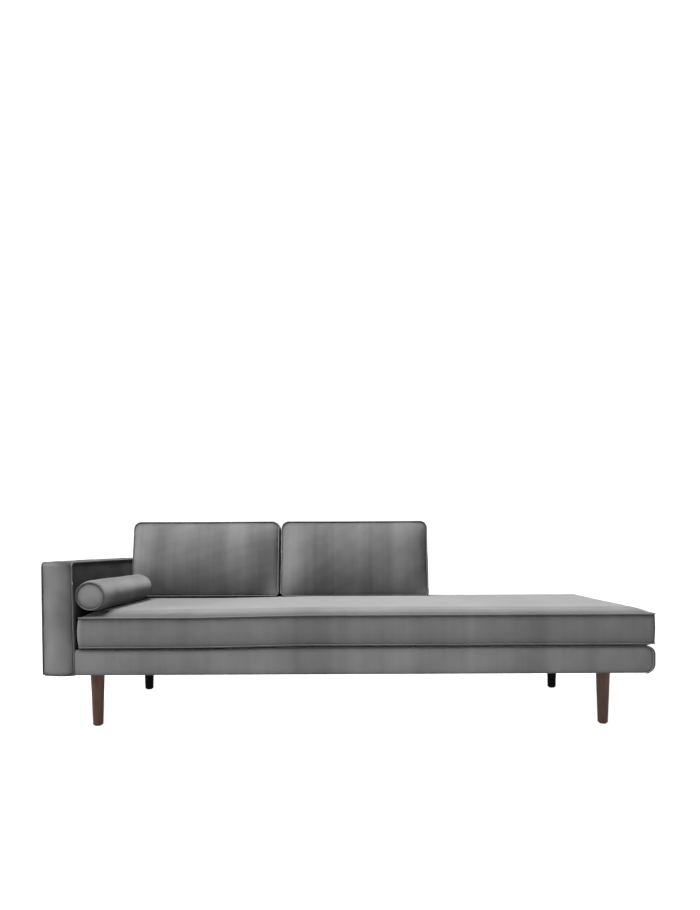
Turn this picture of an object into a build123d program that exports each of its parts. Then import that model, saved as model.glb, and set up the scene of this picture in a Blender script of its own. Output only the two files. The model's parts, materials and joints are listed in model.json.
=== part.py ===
from build123d import *
import math
import os

# A daybed: an upholstered platform on four turned legs, a padded arm at its left end, a low padded
# back along its left part, a loose boxed mattress, two loose back cushions and a bolster.
# Millimetres. +Z is up, X runs along the length with the arm at -X, and the front faces -Y.
# The origin is on the floor, under the middle of the overall length and depth.

# Overall
overall_length = 2200.0
overall_depth = 860.0
leg_height = 198.0  # floor to the underside of the platform, with the glide

# Cloth, cord and clearances
cover = 2.0  # velvet with its lining
piping_radius = 2.5
piping_gap = 0.1  # between a piping cord and the seam that it stands on
crown_steps = 5  # facets from a cushion's edge to the level part of its top
crown_corner_growth = 0.5  # a dome's corners widen by this share of their inset
crown_corner_share = 0.45  # and stay under this share of the outline's shorter side
lining_gap = 0.2  # between a dome's filling and its cloth
rest_gap = 0.3  # between loose pieces that lie on or against each other
rest_steps = 50  # places tried from the middle of a round section to its side
foot_rounds = 30  # rounds in which a cushion settles between mattress and back
fit_gap = 0.2  # round a bolt or a barrel in its hole

# Platform
platform_height = 95.0
platform_end_inset = 2.0  # the mattress overhangs the platform's right end by this
platform_end_radius = 30.0  # top and bottom edges of the right end
platform_corner_radius = 18.0  # upright corners of the right end
end_seam_inset = 18.0  # from the right end to the upright seam on the front
end_seam_slant = 20.0  # the seam leans this much further in at the top edge
end_seam_bend = 22.0
end_cord_sink = 1.5  # how deep the end seam's cord lies in the cover
end_band_width = 120.0  # reach of the end piece of cover over the top and underneath
rail_thickness = 24.0
edge_pad = 5.0
end_pad = 30.0
deck_pad = 14.0
deck_spring_room = 0.4  # slack between springs and deck pad
cross_member_count = 3
cross_member_drop = 22.0  # springs may sink this far before they meet a cross member

# Springs and their clips
wire_radius = 1.9
spring_count = 10
spring_width = 52.0
spring_pitch = 46.0
spring_bend = 20.0
spring_margin = 70.0  # from the end rails to the outermost springs
clip_plate = 1.2
clip_gap = 0.25  # round the wire under a clip
clip_width = 14.0
clip_tail = 12.0
clip_setback = 10.0  # from the inner face of the rail to the end of the wire

# Legs
leg_left_inset = 170.0  # from the overall left end to the leg's axis
leg_right_inset = 167.0
leg_front_inset = 75.0  # from the overall front to the leg's axis
leg_rear_inset = 75.0  # from the platform's rear to the leg's axis
leg_top_radius = 25.0
leg_foot_radius = 18.0
leg_edge = 1.5
glide_radius = 13.0
glide_height = 4.0
leg_block_length = 110.0
leg_block_depth = 90.0
leg_block_height = 26.0

# Fasteners
bolt_radius = 4.0
bolt_in_leg = 40.0
head_radius = 7.5
head_height = 5.5
washer_radius = 10.0
washer_height = 1.6
nut_barrel_radius = 5.2
nut_barrel_length = 12.0
nut_flange_radius = 11.0
nut_flange_height = 1.5
bolt_spare = 4.0  # bolt end standing past its nut
arm_bolt_inset = 190.0  # from the front and rear of the platform
back_bolt_count = 3
back_bolt_inset = 160.0

# Arm and back
arm_thickness = 104.0
arm_top = 603.0
back_top = 603.0
back_length = 1334.0
back_thickness = 96.0
wall_corner_radius = 14.0
side_pad = 8.0
band_pad = 10.0
board = 4.0
post_width = 35.0
wall_rail_height = 60.0
wall_rail_thickness = 24.0
stop_above_deck = 2.0  # the back's front piping ends this far above the platform

# Mattress
mattress_side_gap = 10.0  # to the arm's piping
mattress_rear_gap = 8.0  # to the back's face
mattress_boxing = 103.0  # seam to seam
mattress_corner = 18.0
mattress_crown = 28.0
mattress_rise = 100.0
mattress_belly = 12.0
mattress_belly_rise = 34.0
wrap_edge = 10.0  # thickness of the wadding at the mattress's edge
zip_width = 24.0
zip_thickness = 1.2
zip_margin = 140.0  # from the mattress's ends to the zip

# Back cushions
cushion_width = 668.0
cushion_height = 336.0
cushion_boxing = 84.0
cushion_corner = 22.0
cushion_crown = 30.0
cushion_rise = 148.0
cushion_lean = 11.0  # degrees
cushion_between = 7.0

# Bolster
bolster_rear_gap = 187.0  # to the face of the back, where the cushions stand
bolster_radius = 56.0
bolster_end_radius = 50.0
bolster_end_round = 28.0  # the sleeve rounds in to each end seam over this length
bolster_front_inset = 10.0
bolster_side_gap = 0.5  # to the arm's piping

# Places worked out from the sizes
seam_offset = (piping_radius + piping_gap) * math.sqrt(0.5)
piping_stand = seam_offset + piping_radius  # how far a cord stands past both faces of its seam
left_end = -overall_length / 2
right_end = overall_length / 2
front_end = -overall_depth / 2
rear_end = overall_depth / 2
face_front = front_end + piping_stand
face_rear = rear_end - piping_stand
arm_outer = left_end + piping_stand
arm_inner = arm_outer + arm_thickness
arm_piping = arm_inner + piping_stand
back_start = arm_piping + rest_gap
platform_end = right_end - platform_end_inset
platform_rear = face_rear - back_thickness
platform_top = leg_height + platform_height
rail_front = face_front + cover + edge_pad
rail_rear = platform_rear - cover - edge_pad
rail_end = platform_end - cover - end_pad
rail_bottom = leg_height + cover
wire_height = 2 * (wire_radius + clip_gap + clip_plate)
deck_bottom = platform_top - cover - deck_pad
rail_top = deck_bottom - deck_spring_room - wire_height
wire_level = rail_top + clip_plate + clip_gap + wire_radius
mattress_left = arm_piping + mattress_side_gap + piping_stand
mattress_right = right_end - piping_stand
mattress_rear = platform_rear - mattress_rear_gap - piping_stand + seam_offset
mattress_length = mattress_right - mattress_left
mattress_depth = mattress_rear - face_front
mattress_middle = ((mattress_left + mattress_right) / 2, (face_front + mattress_rear) / 2)
mattress_seam = platform_top + rest_gap + mattress_belly
mattress_seam_top = mattress_seam + mattress_boxing
mattress_top = mattress_seam_top + mattress_crown
bolster_length = platform_rear - bolster_rear_gap - front_end - bolster_front_inset
leg_left = left_end + leg_left_inset
leg_right = right_end - leg_right_inset
leg_front = front_end + leg_front_inset
leg_rear = platform_rear - leg_rear_inset
leg_places = {
    "front_left": (leg_left, leg_front),
    "front_right": (leg_right, leg_front),
    "rear_left": (leg_left, leg_rear),
    "rear_right": (leg_right, leg_rear),
}
lean = math.radians(cushion_lean)


def block(x, y, z):
    """Box between three pairs of limits."""
    limits = (x, y, z)
    size = [high - low for low, high in limits]
    middle = [(high + low) / 2 for low, high in limits]
    return Pos(*middle) * Box(*size)


def upright_rod(x, y, z, radius):
    """Cylinder along Z between two heights."""
    return Pos(x, y, (z[0] + z[1]) / 2) * Cylinder(radius, z[1] - z[0])


def spread(first, last, count):
    """Evenly spaced places, both ends included."""
    return [first + (last - first) * i / (count - 1) for i in range(count)]


def cord(path, radius=piping_radius):
    """Round cord along a path of lines and tangent arcs."""
    section = Plane(origin=path @ 0, z_dir=path % 0) * Circle(radius)
    return sweep(section, path=path)


def parts_of(solids):
    """Separate solids as one group."""
    return Compound(children=[piece for solid in solids for piece in solid.solids()])


# Domed shapes, shared by the mattress and the cushions


def crown_radius(crown, rise):
    """Radius of the arc that climbs a crown over a rise and ends level."""
    return (rise**2 + crown**2) / (2 * crown)


def crown_drop(distance, crown, rise):
    """How far the surface lies under its top at a distance beyond the level part."""
    radius = crown_radius(crown, rise)
    return radius - math.sqrt(radius**2 - min(max(distance, 0.0), rise) ** 2)


def crowned_slab(length, width, corner, edge, crown, rise):
    """Slab on z = 0 with upright edges and a domed top that climbs in narrow facets."""
    outlines = [(0.0, 0.0), (edge, 0.0)]
    for step in range(1, crown_steps + 1):
        inset = rise * step / crown_steps
        outlines.append((edge + crown - crown_drop(rise - inset, crown, rise), inset))
    sections = []
    for level, inset in outlines:
        size = (length - 2 * inset, width - 2 * inset)
        radius = min(corner + crown_corner_growth * inset, crown_corner_share * min(size))
        sections.append(Pos(0, 0, level) * RectangleRounded(*size, radius))
    return loft(sections, ruled=True)


def crowned_sheet(length, width, corner, crown, rise):
    """Cloth panel on z = 0 that follows the same dome."""
    slab = crowned_slab(length, width, corner, cover, crown, rise)
    return slab - Pos(0, 0, -cover) * slab


def seam_ring(length, width, corner, level):
    """Piping round a rounded rectangle, standing diagonally off its seam."""
    grown = 2 * seam_offset
    outline = RectangleRounded(length + grown, width + grown, corner + seam_offset)
    return cord(Pos(0, 0, level) * outline.wire())


def boxed_cover(length, width, height, corner, top, bottom):
    """Cover of a boxed cushion between its seams at z = 0 and z = height.

    top and bottom are the crown and rise of the two panels.
    """
    outside = RectangleRounded(length, width, corner)
    inside = RectangleRounded(length - 2 * cover, width - 2 * cover, corner - cover)
    boxing = extrude(outside - inside, height - 2 * cover)
    upper = crowned_sheet(length, width, corner, *top)
    lower = mirror(crowned_sheet(length, width, corner, *bottom), about=Plane.XY)
    rings = [
        seam_ring(length, width, corner, height + seam_offset),
        seam_ring(length, width, corner, -seam_offset),
    ]
    return {
        "top_panel": Pos(0, 0, height - cover) * upper,
        "boxing": Pos(0, 0, cover) * boxing,
        "bottom_panel": Pos(0, 0, cover) * lower,
        "piping": parts_of(rings),
    }


# Upholstered walls, shared by the arm and the back


def wall_outline(length, height, inset, wrap_start, bottom):
    """Side view of a wall, inset from its cover's outer face, with rounded upper corners."""
    radius = wall_corner_radius - inset
    start = inset if wrap_start else 0.0
    left = start + radius if wrap_start else start
    right = length - inset
    top = height - inset
    edges = Polyline((left, top), (right - radius, top))
    edges += TangentArc((right - radius, top), (right, top - radius), tangent=(1, 0))
    edges += Polyline((right, top - radius), (right, bottom), (start, bottom))
    if wrap_start:
        edges += Line((start, bottom), (start, top - radius))
        edges += TangentArc((start, top - radius), (left, top), tangent=(0, 1))
    else:
        edges += Line((start, bottom), (start, top))
    return make_face(edges)


def wall_slice(outline, start, thickness):
    """Outline in the XZ plane made into a slab that starts at a depth."""
    return Pos(0, start, 0) * extrude(Plane.XZ * outline, -thickness)


def wall_frame(length, height, thickness, wrap_start, post_count):
    """Posts, rails and side boards inside an upholstered wall."""
    skin = cover + band_pad
    depth = (cover + side_pad + board, thickness - cover - side_pad - board)
    start = skin if wrap_start else 0.0
    end = length - skin
    top = height - skin
    places = spread(start, end - post_width, post_count)
    posts = [block((x, x + post_width), depth, (cover, top - post_width)) for x in places]
    rails = [block((start, end), depth, (top - post_width, top))]
    for near, far in zip(places, places[1:]):
        for y in (depth[0], depth[1] - wall_rail_thickness):
            span = (near + post_width, far)
            rails.append(block(span, (y, y + wall_rail_thickness), (cover, cover + wall_rail_height)))
    boards = [block((start, end), (y, y + board), (cover, top)) for y in (depth[0] - board, depth[1])]
    return {"frame_posts": posts, "frame_rails": rails, "side_boards": boards}


def wall_padding(length, height, thickness, wrap_start):
    """Foam on both sides of a wall's frame and over its edges."""
    outline = wall_outline(length, height, cover, wrap_start, cover)
    start = cover + band_pad if wrap_start else 0.0
    end = length - cover - band_pad
    hole = block((start, end), (0, thickness), (0, height - cover - band_pad))
    between = thickness - 2 * (cover + side_pad)
    edge = wall_slice(outline, cover + side_pad, between) - hole
    sides = [wall_slice(outline, y, side_pad) for y in (cover, thickness - cover - side_pad)]
    return [edge, *sides]


def wall_covers(length, height, thickness, wrap_start):
    """Two side panels, the band over the edges and the cloth underneath."""
    outside = wall_outline(length, height, 0.0, wrap_start, 0.0)
    start = cover if wrap_start else 0.0
    inside = wall_outline(length, height, cover, wrap_start, 0.0)
    span = thickness - 2 * cover
    return {
        "cover_inner": [wall_slice(outside, 0, cover)],
        "cover_outer": [wall_slice(outside, thickness - cover, cover)],
        "cover_band": [wall_slice(outside, cover, span) - wall_slice(inside, cover, span)],
        "under_cloth": [block((start, length - cover), (cover, thickness - cover), (0, cover))],
    }


def wall_piping(length, height, thickness, wrap_start, inner_foot):
    """Cords along the seams between the band and the two side panels."""
    radius = wall_corner_radius + seam_offset
    right = length + seam_offset
    top = height + seam_offset
    cords = []
    for depth, foot in ((-seam_offset, inner_foot), (thickness + seam_offset, 0.0)):
        corners = [(right, foot), (right, top), (0.0, top)]
        if wrap_start:
            corners = corners[:2] + [(-seam_offset, top), (-seam_offset, foot)]
        path = FilletPolyline(*[(x, depth, z) for x, z in corners], radius=radius)
        cords.append(cord(path.wire()))
    return cords


def padded_wall(length, height, thickness, wrap_start, post_count, inner_foot=0.0):
    """All pieces of an upholstered wall, inner face on y = 0, from x = 0 along +X."""
    pieces = wall_frame(length, height, thickness, wrap_start, post_count)
    pieces["padding"] = wall_padding(length, height, thickness, wrap_start)
    pieces.update(wall_covers(length, height, thickness, wrap_start))
    pieces["piping"] = wall_piping(length, height, thickness, wrap_start, inner_foot)
    return pieces


def arm_parts():
    """The arm: its inner face looks along +X, and its band wraps front, top and rear."""
    place = Pos(arm_inner, face_front, leg_height) * Rot(0, 0, 90)
    wall = padded_wall(face_rear - face_front, arm_top - leg_height, arm_thickness, True, 3)
    return {name: [place * solid for solid in solids] for name, solids in wall.items()}


def back_parts():
    """The back: it starts beside the arm's piping, behind the platform."""
    place = Pos(back_start, platform_rear, leg_height)
    foot = platform_height + stop_above_deck
    thickness = face_rear - platform_rear
    wall = padded_wall(back_length, back_top - leg_height, thickness, False, 4, foot)
    return {name: [place * solid for solid in solids] for name, solids in wall.items()}


# Platform


def platform_body(inset):
    """Outer form of the platform, or the form inside its cover."""
    left, right = arm_inner, platform_end - inset
    front, rear = face_front + inset, platform_rear - inset
    low, high = leg_height + inset, platform_top - inset
    solid = block((left, right), (front, rear), (low, high))
    upright = solid.edges().filter_by(Axis.Z).group_by(Axis.X)[-1]
    solid = fillet(upright, platform_corner_radius - inset)
    reach = platform_end_radius - inset
    profile = block((left, right - reach), (front, rear), (low, high))
    for level in (low + reach, high - reach):
        barrel = Rot(90, 0, 0) * Cylinder(reach, rear - front)
        profile += Pos(right - reach, (front + rear) / 2, level) * barrel
    profile += block((right - reach, right), (front, rear), (low + reach, high - reach))
    return solid & profile


def end_seam_path(depth):
    """Seam near the right end, on the front or the rear face."""
    upright = platform_end - end_seam_inset
    start = (upright - end_seam_slant, depth, platform_top)
    knee = (upright, depth, platform_top - end_seam_slant)
    foot = (upright, depth, leg_height)
    return FilletPolyline(start, knee, foot, radius=end_seam_bend)


def face_panel_prism(depth, sign):
    """All that lies left of the end seam on the front or the rear face."""
    seam = end_seam_path(0.0)
    corners = [seam @ 1, (arm_inner, 0, leg_height), (arm_inner, 0, platform_top), seam @ 0]
    face = make_face(seam + Polyline(*corners))
    return Pos(0, depth, 0) * extrude(face, cover, dir=(0, sign, 0))


def platform_covers():
    """Front and rear panels, end piece, deck cloth, cloth underneath and seam piping."""
    shell = platform_body(0.0) - platform_body(cover)
    cord_line = piping_radius - end_cord_sink
    seams = [end_seam_path(face_front - cord_line), end_seam_path(platform_rear + cord_line)]
    grooves = [cord(seam.wire(), piping_radius + piping_gap) for seam in seams]
    front = shell & face_panel_prism(face_front, 1)
    rear = shell & face_panel_prism(platform_rear, -1)
    between = (face_front + cover, platform_rear - cover)
    band_start = platform_end - end_band_width
    deck = block((arm_inner, band_start), between, (platform_top - cover, platform_top))
    cloth = block((arm_inner, band_start), between, (leg_height, leg_height + cover))
    end = shell - front - rear - deck - cloth
    end = end & block((band_start, platform_end), (face_front, platform_rear), (0, platform_top))
    front -= block((arm_inner, arm_piping + piping_gap), (front_end, face_front + cover), (0, platform_top))
    front -= grooves[0]
    rear -= grooves[1]
    end = end - grooves[0] - grooves[1]
    return {
        "platform_cover_front": front,
        "platform_cover_rear": rear,
        "platform_cover_end": end,
        "deck_cloth": deck,
        "under_cloth": cloth,
        "platform_piping": parts_of([cord(seam.wire()) for seam in seams]),
    }


def platform_padding():
    """Foam strips on the front and rear rails and the rounded foam at the right end."""
    body = platform_body(cover)
    along = (arm_inner, rail_end)
    level = (rail_bottom, platform_top - cover)
    strips = [
        block(along, (face_front + cover, rail_front), level),
        block(along, (rail_rear, platform_rear - cover), level),
        body & block((rail_end, platform_end), (face_front, platform_rear), (leg_height, platform_top)),
    ]
    return parts_of(strips)


def platform_rails():
    """Front, rear, left and right rails of the platform's frame."""
    height = (rail_bottom, rail_top)
    inner = (rail_front + rail_thickness, rail_rear - rail_thickness)
    return {
        "front_rail": block((arm_inner, rail_end), (rail_front, inner[0]), height),
        "rear_rail": block((arm_inner, rail_end), (inner[1], rail_rear), height),
        "left_rail": block((arm_inner, arm_inner + rail_thickness), inner, height),
        "right_rail": block((rail_end - rail_thickness, rail_end), inner, height),
    }


def spring_places():
    """X of each spring."""
    first = arm_inner + rail_thickness + spring_margin
    last = rail_end - rail_thickness - spring_margin
    return spread(first, last, spring_count)


def cross_members():
    """Beams between the front and rear rails, each midway between two springs."""
    places = spring_places()
    step = places[1] - places[0]
    inner = (rail_front + rail_thickness, rail_rear - rail_thickness)
    beams = []
    for k in range(1, cross_member_count + 1):
        slot = round(k * (spring_count - 1) / (cross_member_count + 1))
        middle = places[slot] + step / 2
        span = (middle - rail_thickness / 2, middle + rail_thickness / 2)
        beams.append(block(span, inner, (rail_bottom, rail_top - cross_member_drop)))
    return parts_of(beams)


def spring_ends():
    """Y of the two end bars of a spring, over the front and rear rails."""
    front = rail_front + rail_thickness - clip_setback
    return front, rail_rear - rail_thickness + clip_setback


def spring(x):
    """One zigzag wire from the front rail to the rear rail."""
    front, rear = spring_ends()
    turns = 2 * round((rear - front) / spring_pitch / 2) + 1
    step = (rear - front) / turns
    half = spring_width / 2
    points = [(x - half, front, wire_level)]
    side = half
    for i in range(turns):
        points.append((x + side, front + i * step, wire_level))
        points.append((x + side, front + (i + 1) * step, wire_level))
        side = -side
    points.append((x + side, rear, wire_level))
    return cord(FilletPolyline(*points, radius=spring_bend).wire(), wire_radius)


def spring_clip(x, y, toward):
    """Steel clip on a rail: a plate with a lip curled over the wire's end bar."""
    inner = wire_radius + clip_gap
    outer = inner + clip_plate
    ring = Circle(outer) - Circle(inner)
    lip = ring & Pos(-toward * outer / 2, 0) * Rectangle(outer, 2 * outer)
    tail = clip_tail * toward
    foot = Pos(tail / 2, -inner - clip_plate / 2) * Rectangle(clip_tail, clip_plate)
    section = Plane.YZ * (lip + foot)
    return Pos(x - clip_width / 2, y, wire_level) * extrude(section, clip_width)


def springs():
    return parts_of([spring(x) for x in spring_places()])


def spring_clips():
    """Clips over the middle of every end bar, their lips away from the springs' span."""
    front, rear = spring_ends()
    clips = []
    for x in spring_places():
        clips.append(spring_clip(x, front, -1))
        clips.append(spring_clip(x, rear, 1))
    return parts_of(clips)


# Legs and fasteners


def leg(x, y):
    """Turned and tapered leg with a blind hole for its bolt."""
    height = leg_height - glide_height
    body = Pos(0, 0, glide_height + height / 2) * Cone(leg_foot_radius, leg_top_radius, height)
    body = fillet(body.edges().filter_by(GeomType.CIRCLE), leg_edge)
    hole = upright_rod(0, 0, (leg_height - bolt_in_leg, leg_height), bolt_radius + fit_gap)
    return Pos(x, y, 0) * (body - hole)


def glide(x, y):
    return upright_rod(x, y, (0, glide_height), glide_radius)


def leg_block(x, y):
    """Block in the platform's frame that takes a leg's bolt, against the nearer rail."""
    left = max(x - leg_block_length / 2, arm_inner + rail_thickness)
    right = min(x + leg_block_length / 2, rail_end - rail_thickness)
    span = (left, right)
    inner = rail_front + rail_thickness
    depth = (inner, inner + leg_block_depth)
    if y > 0:
        inner = rail_rear - rail_thickness
        depth = (inner - leg_block_depth, inner)
    return block(span, depth, (rail_bottom, rail_bottom + leg_block_height))


def bolt_axes():
    """Seat of each frame bolt's head and the way its shank points, for arm and back."""
    level = rail_bottom + wall_rail_height / 2
    head_x = arm_inner + rail_thickness
    head_y = rail_rear - rail_thickness
    arm = [(head_x, y, level) for y in (face_front + arm_bolt_inset, platform_rear - arm_bolt_inset)]
    first = back_start + back_bolt_inset
    last = back_start + back_length - back_bolt_inset
    back = [(x, head_y, level) for x in spread(first, last, back_bolt_count)]
    return [Plane(p, z_dir=(-1, 0, 0)) for p in arm], [Plane(p, z_dir=(0, 1, 0)) for p in back]


def bolt_grips():
    """Depth from each kind of bolt's head to the flange of its nut."""
    wall = cover + side_pad + board + wall_rail_thickness
    return rail_thickness + wall, rail_thickness + edge_pad + cover + wall


def frame_bolt(grip):
    """Hexagon-head bolt and washer along +Z, its head under z = 0."""
    shank = upright_rod(0, 0, (-washer_height, grip + bolt_spare), bolt_radius)
    washer = upright_rod(0, 0, (-washer_height, 0), washer_radius)
    head = extrude(RegularPolygon(head_radius, 6), -head_height)
    return shank + washer + Pos(0, 0, -washer_height) * head


def tee_nut():
    """Flanged barrel nut: its flange stands on z = 0 and its barrel points down."""
    flange = upright_rod(0, 0, (0, nut_flange_height), nut_flange_radius)
    barrel = upright_rod(0, 0, (-nut_barrel_length, 0), nut_barrel_radius)
    return flange + barrel - upright_rod(0, 0, (-nut_barrel_length, nut_flange_height), bolt_radius)


def leg_stud(x, y):
    """Stud from the leg up through the platform's block."""
    top = rail_bottom + leg_block_height + nut_flange_height + bolt_spare
    return upright_rod(x, y, (leg_height - bolt_in_leg, top), bolt_radius)


def fasteners():
    """Frame bolts, leg studs, their nuts, and the holes that they need."""
    bolts, nuts, holes = [], [], []
    for planes, grip in zip(bolt_axes(), bolt_grips()):
        for plane in planes:
            bolts.append(plane * frame_bolt(grip))
            nuts.append(plane * (Pos(0, 0, grip) * tee_nut()))
            holes.append(plane * upright_rod(0, 0, (0, grip), bolt_radius + fit_gap))
            barrel = (grip - nut_barrel_length - fit_gap, grip)
            holes.append(plane * upright_rod(0, 0, barrel, nut_barrel_radius + fit_gap))
    block_top = rail_bottom + leg_block_height
    for x, y in leg_places.values():
        bolts.append(leg_stud(x, y))
        nuts.append(Pos(x, y, block_top) * tee_nut())
        holes.append(upright_rod(x, y, (leg_height, block_top), bolt_radius + fit_gap))
        barrel = (block_top - nut_barrel_length - fit_gap, block_top)
        holes.append(upright_rod(x, y, barrel, nut_barrel_radius + fit_gap))
    return {"bolts": bolts, "tee_nuts": nuts}, holes


# Mattress, cushions and bolster


def mattress_parts():
    """Foam core, wadding, cover, piping and rear zip."""
    plan = (mattress_length, mattress_depth, mattress_boxing, mattress_corner)
    top = (mattress_crown, mattress_rise)
    belly = (mattress_belly, mattress_belly_rise)
    pieces = boxed_cover(*plan, top, belly)
    inner = (mattress_length - 2 * cover, mattress_depth - 2 * cover, mattress_corner - cover)
    wrap_level = mattress_boxing - cover - wrap_edge
    belly_rise = mattress_belly_rise - cover
    core = crowned_slab(*inner, wrap_level - cover, mattress_belly - lining_gap, belly_rise)
    core = Pos(0, 0, wrap_level) * mirror(core, about=Plane.XY)
    wrap = crowned_slab(*inner, wrap_edge, mattress_crown - lining_gap, mattress_rise - cover)
    pieces["core"] = core
    pieces["wrap"] = Pos(0, 0, wrap_level) * wrap
    half = mattress_length / 2 - zip_margin
    rear = mattress_depth / 2
    level = mattress_boxing / 2
    tape = (level - zip_width / 2, level + zip_width / 2)
    pieces["zip"] = block((-half, half), (rear, rear + zip_thickness), tape)
    place = Pos(*mattress_middle, mattress_seam)
    return {f"mattress_{name}": place * solid for name, solid in pieces.items()}


def mattress_surface(x, y):
    """Height of the mattress's top."""
    side = max(mattress_left - x, x - mattress_right) + mattress_rise
    end = max(face_front - y, y - mattress_rear) + mattress_rise
    return mattress_top - crown_drop(max(side, end), mattress_crown, mattress_rise)


def rest_height(surface, radius):
    """Lowest clear height of a round section's middle; surface takes an offset from it."""
    steps = [radius * i / rest_steps for i in range(1 - rest_steps, rest_steps)]
    return rest_gap + max(surface(s) + math.sqrt(radius**2 - s**2) for s in steps)


def cushion_foot():
    """Y and Z of the middle of a cushion's lower edge, where it rests on mattress and back."""
    half = cushion_boxing / 2
    reach = half + cushion_crown + rest_gap + piping_radius
    rail_y = platform_rear - seam_offset
    rail_z = back_top + seam_offset
    y, z = platform_rear, mattress_top
    for _ in range(foot_rounds):
        heel = y + (half + seam_offset) * math.cos(lean)
        low = rest_height(lambda s: mattress_surface(0.0, heel + s), piping_radius)
        z = low + (half + seam_offset) * math.sin(lean) + seam_offset * math.cos(lean)
        y = rail_y - ((rail_z - z) * math.sin(lean) + reach) / math.cos(lean)
    return y, z


def cushion_parts(name, left):
    """One back cushion, leaning on the back, from the x of its left cord."""
    width = cushion_width - 2 * piping_stand
    height = cushion_height - 2 * piping_stand
    dome = (cushion_crown, cushion_rise)
    pieces = boxed_cover(width, height, cushion_boxing, cushion_corner, dome, dome)
    half = crowned_slab(
        width - 2 * cover,
        height - 2 * cover,
        cushion_corner - cover,
        cushion_boxing / 2 - cover,
        cushion_crown - lining_gap,
        cushion_rise - cover,
    )
    core = half + mirror(half, about=Plane.XY)
    names = {"top_panel": "front_panel", "bottom_panel": "rear_panel"}
    pieces = {names.get(part, part): solid for part, solid in pieces.items()}
    pieces["core"] = Pos(0, 0, cushion_boxing / 2) * core
    y, z = cushion_foot()
    facing = (0, -math.cos(lean), math.sin(lean))
    foot = Plane((left + cushion_width / 2, y, z), x_dir=(1, 0, 0), z_dir=facing)
    place = foot * Pos(0, height / 2, -cushion_boxing / 2)
    return {f"{name}_{part}": place * solid for part, solid in pieces.items()}


def bolster_profile(shrink):
    """Half section of the bolster along X, pulled in towards its two end seams."""
    half = bolster_length / 2 - piping_stand - shrink
    body = bolster_radius - shrink
    end = bolster_end_radius - shrink
    shoulder = half - bolster_end_round
    edges = Polyline((-half, end), (-half, 0), (half, 0), (half, end))
    edges += TangentArc((-shoulder, body), (-half, end), tangent=(-1, 0))
    edges += TangentArc((shoulder, body), (half, end), tangent=(1, 0))
    edges += Line((-shoulder, body), (shoulder, body))
    return make_face(edges)


def bolster_parts():
    """Foam roll, sleeve, end discs and their piping, lying beside the arm."""
    core = revolve(bolster_profile(cover), Axis.X)
    skin = revolve(bolster_profile(0.0), Axis.X) - core
    half = bolster_length / 2 - piping_stand
    discs, rings = [], []
    for side in (-1, 1):
        disc = Pos(side * (half - cover / 2), 0, 0) * Rot(0, 90, 0)
        discs.append(disc * Cylinder(bolster_end_radius - cover, cover))
        centre = Pos(side * (half + seam_offset), 0, 0) * Rot(0, 90, 0)
        rings.append(centre * Torus(bolster_end_radius + seam_offset, piping_radius))
    sleeve = skin - discs[0] - discs[1]
    pieces = {
        "bolster_core": core,
        "bolster_sleeve": sleeve,
        "bolster_ends": parts_of(discs),
        "bolster_piping": parts_of(rings),
    }
    x = arm_piping + bolster_side_gap + bolster_radius
    y = front_end + bolster_front_inset + bolster_length / 2
    z = rest_height(lambda s: mattress_surface(x + s, 0.0), bolster_radius)
    place = Pos(x, y, z) * Rot(0, 0, 90)
    return {name: place * solid for name, solid in pieces.items()}


# Assembly

# Pieces that a bolt or a nut passes through
drilled = (
    "platform_left_rail",
    "platform_rear_rail",
    "platform_padding",
    "platform_cover_rear",
    "under_cloths",
    "leg_blocks",
    "arm_cover_inner",
    "arm_padding",
    "arm_side_boards",
    "arm_frame_rails",
    "back_cover_inner",
    "back_padding",
    "back_side_boards",
    "back_frame_rails",
)


def daybed():
    """Every node by name."""
    nodes = {f"platform_{name}": solid for name, solid in platform_rails().items()}
    nodes.update(platform_covers())
    nodes["platform_cross_members"] = cross_members()
    nodes["platform_padding"] = platform_padding()
    deck = ((arm_inner, rail_end), (rail_front, rail_rear), (deck_bottom, platform_top - cover))
    nodes["deck_foam"] = block(*deck)
    nodes["springs"] = springs()
    nodes["spring_clips"] = spring_clips()
    nodes["leg_blocks"] = parts_of([leg_block(x, y) for x, y in leg_places.values()])
    nodes["glides"] = parts_of([glide(x, y) for x, y in leg_places.values()])
    for place, (x, y) in leg_places.items():
        nodes[f"leg_{place}"] = leg(x, y)
    cloths = [nodes.pop("under_cloth")]
    for wall, pieces in (("arm", arm_parts()), ("back", back_parts())):
        cloths += pieces.pop("under_cloth")
        nodes.update({f"{wall}_{name}": parts_of(solids) for name, solids in pieces.items()})
    nodes["under_cloths"] = parts_of(cloths)
    fixings, holes = fasteners()
    nodes.update({name: parts_of(solids) for name, solids in fixings.items()})
    for name in drilled:
        solid = nodes[name]
        for hole in holes:
            solid -= hole
        nodes[name] = solid
    nodes.update(mattress_parts())
    left = arm_piping + rest_gap
    nodes.update(cushion_parts("left_cushion", left))
    nodes.update(cushion_parts("right_cushion", left + cushion_width + cushion_between))
    nodes.update(bolster_parts())
    return nodes


os.makedirs("parts", exist_ok=True)
for name, solid in daybed().items():
    export_step(solid, f"parts/{name}.step")
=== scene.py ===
import json
import math
import bmesh
import bpy
import numpy as np
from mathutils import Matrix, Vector
from mathutils.kdtree import KDTree


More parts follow.
